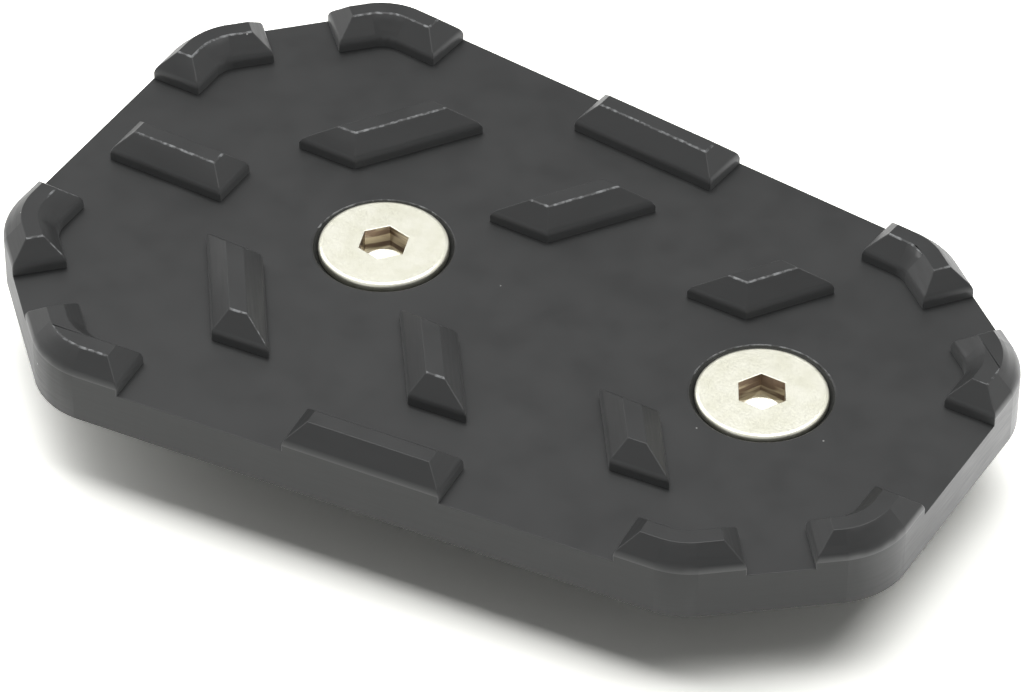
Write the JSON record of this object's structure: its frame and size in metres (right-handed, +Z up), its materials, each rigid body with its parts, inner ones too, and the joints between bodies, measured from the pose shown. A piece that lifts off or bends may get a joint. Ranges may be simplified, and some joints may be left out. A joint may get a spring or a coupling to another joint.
{
  "type": "brake pedal extension",
  "caption": "Studded, tapered octagonal tread plate that enlarges a motorbike brake pedal, with a clamp bar under it and countersunk socket screws.",
  "frame": {"origin": "midway between the two screws, on the underside of the clamp bar, which the part stands on", "axes": "+X along the plate to its narrow end, +Y across it, +Z up out of the studded face"},
  "size_m": [0.092, 0.0614, 0.0157],
  "materials": {
    "anodised_plate": "black anodised, satin",
    "anodised_bar": "black anodised, satin",
    "stainless_screw": "bright stainless"
  },
  "bodies": {
    "root": {"tread_plate": "anodised_plate", "clamp_bar": "anodised_bar", "screw_left": "stainless_screw", "screw_right": "stainless_screw"}
  },
  "joints": []
}
